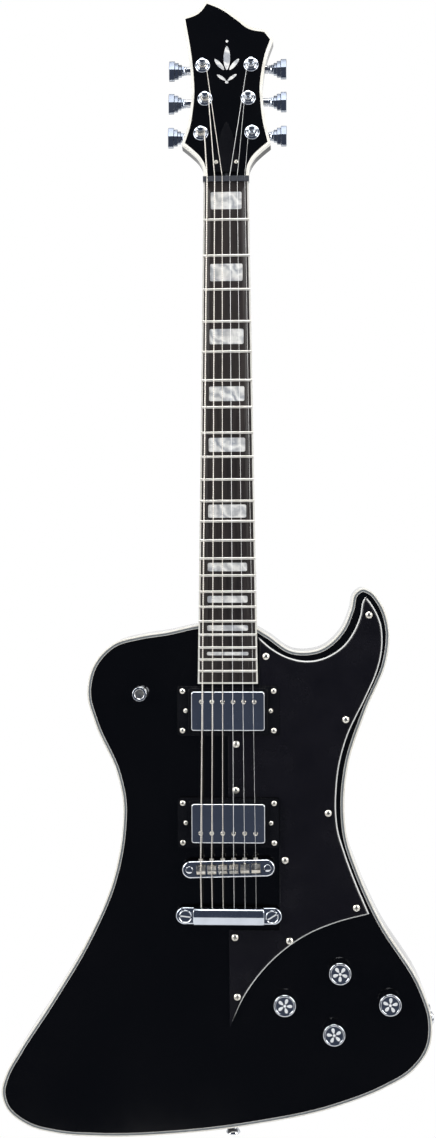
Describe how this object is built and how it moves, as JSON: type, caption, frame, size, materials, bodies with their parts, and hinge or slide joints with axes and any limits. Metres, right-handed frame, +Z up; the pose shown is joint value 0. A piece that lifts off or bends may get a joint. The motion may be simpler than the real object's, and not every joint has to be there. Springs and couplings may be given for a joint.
{
  "type": "electric guitar",
  "caption": "Solid-body electric guitar with a set neck, humbucking pickups, a stop tailpiece and working tuners and knobs.",
  "frame": {"origin": "middle of the nut's fingerboard edge, at the height of the fingerboard's surface, which is where a wall hanger's yoke takes the headstock", "axes": "+Z up the neck to the headstock, -Y is the side with the strings, +X is the treble side"},
  "size_m": [0.416, 0.0906, 1.1052],
  "materials": {
    "black_lacquer": "gloss black lacquer on wood",
    "black_lacquer_neck": "gloss black lacquer on maple",
    "cream_binding": "polished cream plastic",
    "purfling_lines": "fine black and white lines under lacquer",
    "steel_rod": "plain steel",
    "dark_fingerboard": "oiled dark composite wood",
    "white_binding": "polished white plastic",
    "pearl_blocks": "swirled pearl plastic",
    "nickel_silver": "polished nickel silver",
    "graphite_nut": "smooth graphite composite",
    "gloss_veneer": "gloss black lacquer",
    "black_plastic": "satin black plastic",
    "nickel_screws": "nickel plated",
    "satin_chrome": "satin chrome",
    "chrome": "bright chrome",
    "wound_nickel": "nickel wound steel",
    "plain_steel": "plain tinned steel",
    "coil_plastic": "black bobbins",
    "nickel_saddles": "nickel plated brass",
    "brass_inserts": "plain brass",
    "guard_plastic": "gloss black plastic with a white core",
    "pot_cases": "tinned steel",
    "black_screws": "black oxide",
    "nickel_jack": "nickel plated"
  },
  "bodies": {
    "guitar": {"body": "black_lacquer", "body_binding": "cream_binding", "body_purfling": "purfling_lines", "neck": "black_lacquer_neck", "truss_rod": "steel_rod", "fingerboard": "dark_fingerboard", "fingerboard_binding": "white_binding", "inlays": "pearl_blocks", "frets": "nickel_silver", "nut": "graphite_nut", "headstock_veneer": "gloss_veneer", "headstock_binding": "cream_binding", "truss_rod_cover": "black_plastic", "headstock_screws": "nickel_screws", "tuner_housings": "satin_chrome", "tuner_bushings": "chrome", "wound_strings": "wound_nickel", "plain_strings": "plain_steel", "neck_pickup_ring": "black_plastic", "bridge_pickup_ring": "black_plastic", "pickup_ring_screws": "nickel_screws", "pickup_height_screws": "nickel_screws", "bridge": "chrome", "saddles": "nickel_saddles", "intonation_screws": "nickel_screws", "bridge_posts": "chrome", "tailpiece": "chrome", "tailpiece_studs": "chrome", "threaded_inserts": "brass_inserts", "pickguard": "guard_plastic", "pickguard_screws": "nickel_screws", "pots": "pot_cases", "control_cover": "black_plastic", "control_cover_screws": "black_screws", "output_jack": "nickel_jack", "jack_plate": "chrome", "strap_buttons": "chrome", "strap_screws": "steel_rod"},
    "neck_pickup": {"neck_pickup_cover": "chrome", "neck_pickup_poles": "nickel_screws", "neck_pickup_coils": "coil_plastic"},
    "bridge_pickup": {"bridge_pickup_cover": "chrome", "bridge_pickup_poles": "nickel_screws", "bridge_pickup_coils": "coil_plastic"},
    "tuner_1_button": {"tuner_button_1": "chrome"},
    "tuner_1_post": {"tuner_post_1": "chrome"},
    "tuner_2_button": {"tuner_button_2": "chrome"},
    "tuner_2_post": {"tuner_post_2": "chrome"},
    "tuner_3_button": {"tuner_button_3": "chrome"},
    "tuner_3_post": {"tuner_post_3": "chrome"},
    "tuner_4_button": {"tuner_button_4": "chrome"},
    "tuner_4_post": {"tuner_post_4": "chrome"},
    "tuner_5_button": {"tuner_button_5": "chrome"},
    "tuner_5_post": {"tuner_post_5": "chrome"},
    "tuner_6_button": {"tuner_button_6": "chrome"},
    "tuner_6_post": {"tuner_post_6": "chrome"},
    "knob_1_body": {"knob_1": "chrome"},
    "knob_2_body": {"knob_2": "chrome"},
    "knob_3_body": {"knob_3": "chrome"},
    "knob_4_body": {"knob_4": "chrome"}
  },
  "joints": [
    {"name": "tuner_1_turn", "type": "hinge", "parent": "guitar", "child": "tuner_1_button", "pos_m": [-0.045, 0.0347, 0.05138], "axis": [-1, 0, 0], "continuous": true},
    {"name": "tuner_1_winding", "type": "hinge", "parent": "guitar", "child": "tuner_1_post", "pos_m": [-0.0246, 0.01374, 0.04973], "axis": [0, -0.9724, 0.2334], "continuous": true},
    {"name": "tuner_2_turn", "type": "hinge", "parent": "guitar", "child": "tuner_2_button", "pos_m": [-0.045, 0.04322, 0.08687], "axis": [-1, 0, 0], "continuous": true},
    {"name": "tuner_2_winding", "type": "hinge", "parent": "guitar", "child": "tuner_2_post", "pos_m": [-0.0209, 0.02226, 0.08522], "axis": [0, -0.9724, 0.2334], "continuous": true},
    {"name": "tuner_3_turn", "type": "hinge", "parent": "guitar", "child": "tuner_3_button", "pos_m": [-0.045, 0.05151, 0.12139], "axis": [-1, 0, 0], "continuous": true},
    {"name": "tuner_3_winding", "type": "hinge", "parent": "guitar", "child": "tuner_3_post", "pos_m": [-0.0236, 0.03055, 0.11974], "axis": [0, -0.9724, 0.2334], "continuous": true},
    {"name": "tuner_4_turn", "type": "hinge", "parent": "guitar", "child": "tuner_4_button", "pos_m": [0.045, 0.05151, 0.12139], "axis": [1, 0, 0], "continuous": true},
    {"name": "tuner_4_winding", "type": "hinge", "parent": "guitar", "child": "tuner_4_post", "pos_m": [0.0236, 0.03055, 0.11974], "axis": [0, -0.9724, 0.2334], "continuous": true},
    {"name": "tuner_5_turn", "type": "hinge", "parent": "guitar", "child": "tuner_5_button", "pos_m": [0.045, 0.04322, 0.08687], "axis": [1, 0, 0], "continuous": true},
    {"name": "tuner_5_winding", "type": "hinge", "parent": "guitar", "child": "tuner_5_post", "pos_m": [0.0209, 0.02226, 0.08522], "axis": [0, -0.9724, 0.2334], "continuous": true},
    {"name": "tuner_6_turn", "type": "hinge", "parent": "guitar", "child": "tuner_6_button", "pos_m": [0.045, 0.0347, 0.05138], "axis": [1, 0, 0], "continuous": true},
    {"name": "tuner_6_winding", "type": "hinge", "parent": "guitar", "child": "tuner_6_post", "pos_m": [0.0246, 0.01374, 0.04973], "axis": [0, -0.9724, 0.2334], "continuous": true},
    {"name": "knob_1_turn", "type": "hinge", "parent": "guitar", "child": "knob_1_body", "pos_m": [0.0527, -0.02, -0.7802], "axis": [0, 1, 0], "range_deg": [0, 300]},
    {"name": "knob_2_turn", "type": "hinge", "parent": "guitar", "child": "knob_2_body", "pos_m": [0.1048, -0.02, -0.7496], "axis": [0, 1, 0], "range_deg": [0, 300]},
    {"name": "knob_3_turn", "type": "hinge", "parent": "guitar", "child": "knob_3_body", "pos_m": [0.099, -0.02, -0.8075], "axis": [0, 1, 0], "range_deg": [0, 300]},
    {"name": "knob_4_turn", "type": "hinge", "parent": "guitar", "child": "knob_4_body", "pos_m": [0.1516, -0.02, -0.7786], "axis": [0, 1, 0], "range_deg": [0, 300]},
    {"name": "neck_pickup_height", "type": "slide", "parent": "guitar", "child": "neck_pickup", "axis": [0, -1, 0], "range_m": [-0.0025, 0.0006]},
    {"name": "bridge_pickup_height", "type": "slide", "parent": "guitar", "child": "bridge_pickup", "axis": [0, -1, 0], "range_m": [-0.0025, 0.0006]}
  ],
  "couplings": [
    {"joint": "tuner_1_winding", "follows": "tuner_1_turn", "ratio": 0.055556},
    {"joint": "tuner_2_winding", "follows": "tuner_2_turn", "ratio": 0.055556},
    {"joint": "tuner_3_winding", "follows": "tuner_3_turn", "ratio": 0.055556},
    {"joint": "tuner_4_winding", "follows": "tuner_4_turn", "ratio": 0.055556},
    {"joint": "tuner_5_winding", "follows": "tuner_5_turn", "ratio": 0.055556},
    {"joint": "tuner_6_winding", "follows": "tuner_6_turn", "ratio": 0.055556}
  ]
}
